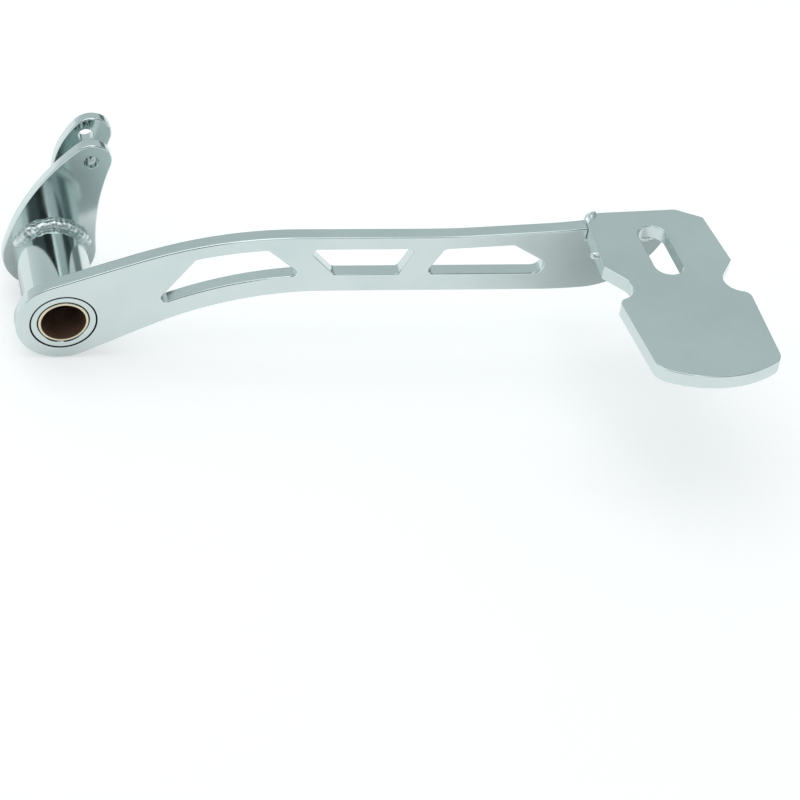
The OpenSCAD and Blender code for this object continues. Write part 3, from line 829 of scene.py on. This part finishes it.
bpy.context.scene.world = room_light()

lamp_data = bpy.data.lights.new("wide softbox", "AREA")
lamp_data.shape = "RECTANGLE"
lamp_data.size, lamp_data.size_y = LAMP_SIZE
lamp_data.energy = LAMP_WATTS
lamp = put_in_scene("wide softbox", lamp_data)
lamp.location = LAMP_AT
lamp.rotation_euler = (LAMP_AIM - LAMP_AT).to_track_quat("-Z", "Y").to_euler()
print("lamp, m:", LAMP_SIZE, "at", LAMP_WATTS, "W")

# %% [markdown]
# ## Flags
# A mirror also needs something dark to show, or it looks like paint, so photographers
# hang dark cards, called flags, round the object. Here a black and two grey flags stand
# behind the camera with a gap that reads as a light stripe, and a pale grey one stands
# low behind the pedal for the sides of the tube. The camera itself never sees them.

# %% Four flags round the pedal
FLAG_R = 2.7
FLAG_COLS, FLAG_ROWS = 25, 13
BEHIND_CAMERA = (16, 70)  # heights in degrees
LOW_BEHIND = (3, 22)


def flag(name, code, azimuths, heights):
    """A panel of a sphere about the pedal, from azimuths a and heights e in degrees.

    A point is FLAG_R times (sin a cos e, -cos a cos e, sin e).
    """
    a, e = np.meshgrid(np.radians(np.linspace(*azimuths, FLAG_COLS)),
                       np.radians(np.linspace(*heights, FLAG_ROWS)), indexing="ij")
    ball = np.stack([np.sin(a) * np.cos(e), -np.cos(a) * np.cos(e), np.sin(e)], -1)
    index = np.arange(a.size).reshape(a.shape)
    mesh = bpy.data.meshes.new(name)
    mesh.from_pydata((FLAG_R * ball).reshape(-1, 3).tolist(), [], grid_quads(index.T))
    panel = stage_object(name, mesh, matt_material(name + " card", code)[0])
    panel.visible_camera = False
    print(name, "from", azimuths[0], "to", azimuths[1], "degrees")


flag("black flag", "#1C1F21", (-22, 1), BEHIND_CAMERA)
flag("left grey flag", "#626C6E", (-50, -22), BEHIND_CAMERA)
flag("right grey flag", "#465254", (27, 64), BEHIND_CAMERA)
flag("rear low flag", "#98A4A6", (95, 150), LOW_BEHIND)

# %% [markdown]
# ## Cards on the floor
# One small card each lies under the footplate and under the ears, where a real floor
# would be in their shade, so that the faces that mirror those places turn darker. A card
# fades out towards its rim, and only mirrors see it.

# %% Two soft cards that only mirrors see
CARD_GREY = "#5C686A"
CARD_Z = FLOOR_Z + MM
CARD_CORE = 0.15  # share of the half sizes over which a card keeps its full density


def low_card(name, middle, half, density):
    """A dark card on the floor that only mirrors see, densest in its middle.

    Its opacity falls to nothing with the distance from the middle, measured in half
    sizes, so that no edge of it shows in a polished face.
    """
    material, tree, shader, place = matt_material(name + " grey", CARD_GREY)
    off = add(tree, "ShaderNodeVectorMath", {"operation": "SUBTRACT"},
              {0: place, 1: (*middle, CARD_Z)})
    share = add(tree, "ShaderNodeVectorMath", {"operation": "DIVIDE"},
                {0: off.outputs["Vector"], 1: (*half, 1.0)})
    away = add(tree, "ShaderNodeVectorMath", {"operation": "LENGTH"},
               {0: share.outputs["Vector"]})
    opacity = add(tree, "ShaderNodeMapRange", {"interpolation_type": "SMOOTHSTEP"}, {
        "Value": away.outputs["Value"], "From Min": 1.0, "From Max": CARD_CORE,
        "To Min": 0.0, "To Max": density})
    connect(tree, shader, {"Alpha": opacity.outputs["Result"]})
    card = stage_object(name, level_sheet(name, middle, half, CARD_Z), material)
    card.visible_camera = False
    card.visible_diffuse = False
    card.visible_shadow = False
    print(name, "density:", density)


low_card("card under the footplate", (0.285, -0.052), (0.115, 0.07), 0.46)
low_card("card under the ears", (0.004, 0.036), (0.055, 0.055), 0.5)

# %% [markdown]
# ## Camera
# The photograph was taken with a long lens from above and a little to the left. The
# camera's place and axes come from matching known points of the pedal to the picture.

# %% Camera at the photograph's angle
CAMERA_AT = Vector((-0.2545, -1.1712, 1.0809))
RIGHT = Vector((0.96968, -0.18659, 0.15781))
DOWN = Vector((-0.01546, -0.69132, -0.72238))
FORWARD = Vector((0.24389, 0.69804, -0.67325))
FOCAL_PX = 3800
PICTURE_PX = 800

camera_data = bpy.data.cameras.new("camera")
camera_data.sensor_width = 36
camera_data.lens = FOCAL_PX * camera_data.sensor_width / PICTURE_PX
camera_data.clip_start = 0.05
camera_data.clip_end = 60
camera = put_in_scene("camera", camera_data)
axes = Matrix((RIGHT, -DOWN, -FORWARD)).transposed()
camera.matrix_world = Matrix.Translation(CAMERA_AT) @ axes.to_4x4()
bpy.context.scene.camera = camera
bpy.context.scene.view_settings.view_transform = "Standard"
print("lens, mm:", camera_data.lens)

# %% [markdown]
# ## The CAD model's size
# The dressed pedal has to fill the same box as the CAD model, whose size is printed here.

# %% Print the CAD model's box
print("CAD, mm:", [round(v / MM, 2) for v in start_high - start_low])
